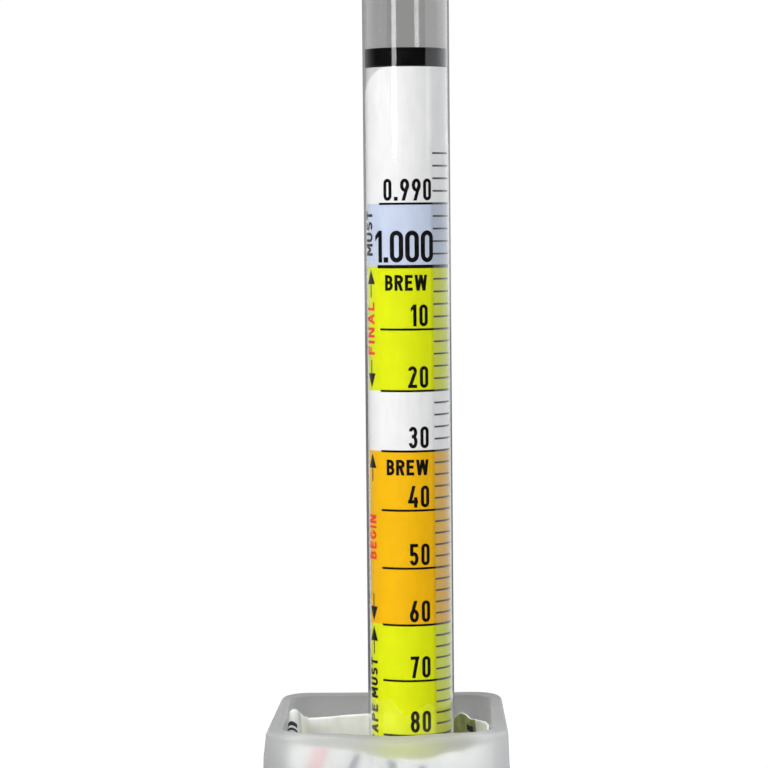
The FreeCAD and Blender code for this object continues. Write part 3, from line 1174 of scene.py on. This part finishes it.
def between(value, stops):
    """Height on a smooth curve through (place, height) stops."""
    if value <= stops[0][0]:
        return stops[0][1]
    for (p0, h0), (p1, h1) in zip(stops, stops[1:]):
        if value <= p1:
            k = (value - p0) / (p1 - p0)
            return h0 + (h1 - h0) * k * k * (3 - 2 * k)
    return stops[-1][1]


def leaflet_drop(x, y, curled):
    """How far the sheet's top edge is below the rim at a place on the route."""
    if curled:
        away = max(math.hypot(x - CURL_CENTRE[0], y - CURL_CENTRE[1]), 0.01)
        facing_front = (CURL_CENTRE[1] - y) / away
        return -0.26 + 0.42 * (1.0 - facing_front)
    if y < -6.5:
        front = [(-7.5, 1.3), (-5.8, 1.5), (-3.5, 1.8), (0.3, 2.5), (3.0, 2.6), (5.5, 1.95)]
        return between(x, front + [(7.5, 1.5)])
    if x < -7.6:
        return between(y, [(-6.5, 1.3), (-1.2, 0.9)])
    if x > 7.3:
        return between(y, [(-6.5, 1.5), (-1.0, 1.28), (2.0, 1.38), (4.3, 1.62), (5.4, 1.7)])
    if x > 4.0:
        corner = [(4.0, 1.7), (5.3, 1.88), (6.06, 1.33), (6.4, 1.42), (6.98, 1.74), (7.3, 1.7)]
        return between(x, corner)
    if y > 5.5:
        return between(x, [(-7.0, 1.55), (-2.0, 1.4), (4.0, 1.7)])
    return between(y, [(0.0, 0.16), (1.2, 0.7), (5.0, 1.5)])


class Leaflet:
    """The rolled sheet's centre line, with what is needed to put print on either face."""

    def __init__(self):
        self.route = evenly(leaflet_route(), LEAFLET_SPACING)
        self.length = self.route[-1][2]
        self.curl_start = self.length - CURL_RADIUS * math.pi * 1.5
        self.low = LEAFLET_LOW.z
        self.tops = []
        for x, y, along in self.route:
            self.tops.append(RIM_Z - leaflet_drop(x, y, along > self.curl_start))

    def at(self, along, below, offset=0.0):
        """Point at a length along the sheet and a depth below its top edge. offset is to the
        right of the route, which is the face towards the case except in the curl."""
        place = max(0.0, min(along, self.length)) / self.length * (len(self.route) - 1)
        index = min(int(place), len(self.route) - 2)
        k = place - index
        a, b = self.route[index], self.route[index + 1]
        run = math.dist(a[:2], b[:2])
        right = ((b[1] - a[1]) / run, -(b[0] - a[0]) / run)
        x, y = (c + r * offset for c, r in zip(mix(a[:2], b[:2], k), right))
        crease = noise.noise(Vector((x, y, below)) * 0.9)
        crease *= LEAFLET_CREASE * math.exp(-below / 5.0)
        # the curl narrows to its tip
        curled = min(1.0, max(0.0, along - self.curl_start + 1.0))
        narrow = (1.0 - CURL_TIP_SHARE) * max(0.0, 1.0 - below / CURL_TIP_DEPTH) * curled
        x, y = mix((x + right[0] * crease, y + right[1] * crease), CURL_CENTRE, narrow)
        # and flattens against the case's wall
        x = max(x, CURL_WALL_GAP - CASE_INNER_HALF + right[0] * offset)
        uneven = self.tops[index] + (self.tops[index + 1] - self.tops[index]) * k - LEAFLET_LEVEL
        return x, y, LEAFLET_LEVEL - below + uneven * max(0.0, 1.0 - below / 4.0)

    def nearest(self, x, y):
        """Length along the sheet of the place nearest a point."""
        return min(self.route, key=lambda p: math.dist(p[:2], (x, y)))[2]


def make_leaflet(sheet):
    """The sheet as one surface with a real thickness, darker where its corner curls as painted
    shade.
    """
    rows = [0.0, 0.2] + [0.45 * k for k in range(1, 25)] + [12.0, 13.0]
    depth = min(sheet.tops) - sheet.low
    rows += [13.0 + (depth - 13.0) * k / 16 for k in range(1, 17)]
    points = []
    for _, _, along in sheet.route:
        points += [sheet.at(along, below) for below in rows[:-1]]
        points.append((*sheet.at(along, rows[-1])[:2], sheet.low))
    kinds = []
    for _, _, along in sheet.route[:-1]:
        kinds += [int(along > sheet.curl_start - 0.2)] * (len(rows) - 1)
    paper = paper_material("leaflet_paper", (0.79, 0.79, 0.77))
    # the curled corner's darker paper colour is painted shade
    curl_shade = paper_material("leaflet_curl_shade", (0.56, 0.57, 0.54))
    faces = grid(0, len(sheet.route), len(rows))
    piece = mesh_object("leaflet_sheet", points, faces, [paper, curl_shade])
    piece.data.polygons.foreach_set("material_index", kinds)
    thick = piece.modifiers.new("thickness", "SOLIDIFY")
    thick.thickness = SHEET_THICKNESS * MM
    thick.offset = 0.0
    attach(piece, "leaflet")
    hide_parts("leaflet")


class LeafletPrint:
    """Printed patches that follow the sheet."""

    def __init__(self, sheet):
        self.sheet = sheet
        self.points = []
        self.faces = []

    def bar(self, along, width, below, height, inside=False, lean=0.0, sag=0.0, lift=0.03):
        """Patch from along to along + width, below to below + height under the top edge. Its
        lower end is moved back by lean times the height, and its sides are lower by sag."""
        offset = (SHEET_THICKNESS / 2 + lift) * (-1 if inside else 1)
        columns = max(2, math.ceil(width / 0.2) + 1)
        rows = max(2, math.ceil(height / 0.4) + 1)
        start = len(self.points)
        for i in range(columns):
            for j in range(rows):
                down = height * j / (rows - 1)
                place = along + width * i / (columns - 1) - lean * down
                sunk = sag * (2 * i / (columns - 1) - 1) ** 2
                self.points.append(self.sheet.at(place, below + down + sunk, offset))
        self.faces += grid(start, columns, rows)

    def finish(self, name, material):
        """Make the mesh."""
        piece = mesh_object(name, self.points, self.faces, [material])
        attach(piece, "leaflet")


def print_leaflet(sheet):
    """Generic print: a slanting red stripe, bold dark shapes, rows of small bars for text, and a
    black square on the inside at the right, over a dark olive patch that is painted shade with
    painted green light thrown from the scale."""
    rng = random.Random(7)
    side = -LEAFLET_SIDE
    red, dark, grey, olive_shade = [LeafletPrint(sheet) for _ in range(4)]
    red.bar(sheet.nearest(-5.85, side), 1.15, 0.03, 6.5, lean=0.4)
    for x, below, width, height, lean in (
        (-2.75, 0.15, 0.5, 1.5, 0.3),
        (-3.0, 0.9, 0.6, 0.4, 0.0),
        (-0.15, 0.1, 0.6, 0.9, -0.3),
        (0.15, 0.7, 0.45, 0.5, 0.0),
        (2.55, 0.55, 0.6, 0.9, 0.0),
    ):
        grey.bar(sheet.nearest(x, side), width, below, height, lean=lean)
    first, last = sheet.nearest(-6.8, side), sheet.nearest(4.0, 6.94)
    line = 3.4
    while line < sheet.tops[0] - sheet.low - 6.0:
        place = first + (1.6 if line < 7.0 else 0.0)
        while place < last - 3.0:
            width = rng.uniform(0.7, 2.6)
            grey.bar(place, width, line, LINE_DEPTH)
            place += width + rng.uniform(0.45, 0.8)
            if rng.random() < 0.06:
                place += 4.0
        line += LINE_SPACING if rng.random() > 0.12 else 3.2
    # dark olive patch on the inside at the right: painted shade of the stem, with painted green
    # light from the scale
    panel = sheet.nearest(7.35, 5.3)
    olive_shade.bar(panel, sheet.nearest(4.6, 6.9) - panel, 0.02, 8.0, inside=True)
    dark.bar(sheet.nearest(7.1, 5.75), 0.82, 0.64, 0.52, inside=True, lift=0.1)
    curl = sheet.nearest(CURL_CENTRE[0], CURL_CENTRE[1] - CURL_RADIUS) - 0.3
    dark.bar(curl, 1.25, 0.66, 0.24, inside=True, sag=0.2, lift=0.07)
    dark.bar(curl, 1.15, 1.03, 0.14, inside=True, sag=0.2, lift=0.07)
    red.finish("leaflet_stripe", paper_material("leaflet_red", (0.86, 0.52, 0.53)))
    dark.finish("leaflet_bars", paper_material("leaflet_dark", (0.03, 0.03, 0.045)))
    grey.finish("leaflet_lines", paper_material("leaflet_grey", (0.20, 0.23, 0.28)))
    olive_shade.finish("leaflet_shade_patch", paper_material("leaflet_olive_shade", (0.25, 0.27, 0.11), mottle=0.3))


# --- stage, light and camera


def make_stage():
    """Pale floor that fades to white away from the object, and dims for reflections."""
    n = Nodes("floor_white")
    place = n.add("ShaderNodeNewGeometry").outputs["Position"]
    away = n.add("ShaderNodeVectorMath", {0: place}, operation="LENGTH").outputs["Value"]
    matt = n.add("ShaderNodeBsdfDiffuse", {"Color": FLOOR_COLOUR}).outputs["BSDF"]
    seen = n.choose(n.spread(away, 0.0, 1.0, 0.15, 0.6), matt, n.emission(BACKDROP))
    path = n.add("ShaderNodeLightPath").outputs
    ahead = n.along("Y", place)
    mirrored = n.emission(n.spread(ahead, ROOM_IN_REFLECTION, FLOOR_THROUGH_GLASS, 0.0, 1.5))
    unseen = n.choose(path["Glossy Depth"], n.emission(FLOOR_THROUGH_GLASS), mirrored)
    unseen = n.choose(path["Diffuse Depth"], unseen, n.emission(FLOOR_GLOW))
    material = n.finish(n.choose(path["Is Camera Ray"], unseen, seen))
    reach = FLOOR_REACH
    corners = [(-reach, -reach, 0), (reach, -reach, 0), (reach, reach, 0), (-reach, reach, 0)]
    mesh_object("studio_floor", corners, [(0, 1, 2, 3)], [material])


def make_world():
    """Soft studio: white behind the object, a mid-grey room through clear glass, a dark room in
    reflections, and a broad glow from the upper left that lights matt surfaces."""
    n = Nodes("studio", world=True)
    path = n.add("ShaderNodeLightPath").outputs
    place = n.add("ShaderNodeTexCoord").outputs["Generated"]

    def room(strength, colour=WHITE):
        inputs = {"Color": colour, "Strength": strength}
        return n.add("ShaderNodeBackground", inputs).outputs["Background"]

    def glow_from(direction, low, high):
        inputs = {0: place, 1: direction}
        facing = n.add("ShaderNodeVectorMath", inputs, operation="DOT_PRODUCT")
        return n.spread(facing.outputs["Value"], low, high)

    front = glow_from(GLOW_DIRECTION, GLOW_BASE, GLOW_BASE + GLOW_PEAK)
    back = glow_from(BACK_GLOW_DIRECTION, 0.0, BACK_GLOW_PEAK)
    glow = n.reckon("ADD", front, back)
    ahead = n.along("Y", place)
    reflected = room(n.spread(ahead, ROOM_IN_REFLECTION, ROOM_THROUGH_GLASS, 0.0, 0.5))
    straight = n.reckon("LESS_THAN", path["Glossy Depth"], 0.5)
    through = n.choose(straight, reflected, room(ROOM_THROUGH_GLASS))
    matt = n.reckon("GREATER_THAN", path["Diffuse Depth"], 0.5)
    lit = n.choose(matt, through, room(glow, GLOW_COLOUR))
    world = n.finish(n.choose(path["Is Camera Ray"], lit, room(BACKDROP)))
    world.cycles.sampling_method = "NONE"
    bpy.context.scene.world = world


def softbox(name, bearing, distance, low, high, width, radiance, colour=WHITE[:3]):
    """Rectangular lamp facing the stem. bearing is in degrees from the camera's side, positive
    to the right; low and high are its edges' heights in metres."""
    lamp = bpy.data.lights.new(name, "AREA")
    lamp.shape = "RECTANGLE"
    lamp.size = width
    lamp.size_y = high - low
    lamp.energy = radiance * math.pi * width * (high - low)
    lamp.color = colour
    piece = bpy.data.objects.new(name, lamp)
    c, s = cos_sin(bearing)
    centre = Vector((STEM_X * MM, 0.0, (low + high) / 2))
    piece.location = centre + Vector((s, -c, 0.0)) * distance
    piece.rotation_euler = (math.pi / 2, 0.0, math.radians(bearing))
    piece.visible_camera = False
    bpy.context.scene.collection.objects.link(piece)


def make_lights():
    """Key strip at the left, and a large panel at the right in two parts."""
    eye = (RIM_Z + CAMERA_ABOVE_RIM) * MM
    split, top = eye + 0.03, eye + 0.9
    cool = (0.95, 0.98, 1.0)
    softbox("key_strip", -31.0, 0.90, split, top, 0.20, 5.0)
    softbox("right_panel_high", 101.0, 0.80, split, top, 1.66, 0.85, cool)
    softbox("right_panel_low", 112.0, 0.80, 0.02, split, 1.28, 0.85, cool)


def make_camera():
    """Camera level with the upper part of the scale, turned slightly down and to the left."""
    data = bpy.data.cameras.new("camera")
    data.lens = CAMERA_LENS
    data.sensor_width = SENSOR
    data.clip_start = 0.01
    data.clip_end = 50.0
    camera = bpy.data.objects.new("camera", data)
    eye = Vector((STEM_X + CAMERA_RIGHT, -CAMERA_DISTANCE, RIM_Z + CAMERA_ABOVE_RIM))
    camera.location = eye * MM
    yaw = Matrix.Rotation(math.radians(CAMERA_YAW), 3, "Z")
    pitch = Matrix.Rotation(math.radians(90.0 + CAMERA_PITCH), 3, "X")
    roll = Matrix.Rotation(math.radians(CAMERA_ROLL), 3, "Z")
    camera.rotation_euler = (yaw @ pitch @ roll).to_euler()
    bpy.context.scene.collection.objects.link(camera)
    bpy.context.scene.camera = camera


def set_colour():
    """Plain display colour, so that white paper stays white, and enough bounces for glass."""
    scene = bpy.context.scene
    scene.view_settings.view_transform = "Standard"
    scene.view_settings.look = "None"
    scene.cycles.max_bounces = 16
    scene.cycles.transmission_bounces = 16
    scene.cycles.transparent_max_bounces = 16
    scene.cycles.caustics_reflective = False
    scene.cycles.caustics_refractive = True


def main():
    """Build the looks piece by piece."""
    make_glass()
    make_paper()
    make_band()
    print_scale()
    make_case()
    make_pad()
    sheet = Leaflet()
    make_leaflet(sheet)
    print_leaflet(sheet)
    dress_cad_nodes()
    make_stage()
    make_world()
    make_lights()
    make_camera()
    set_colour()


main()
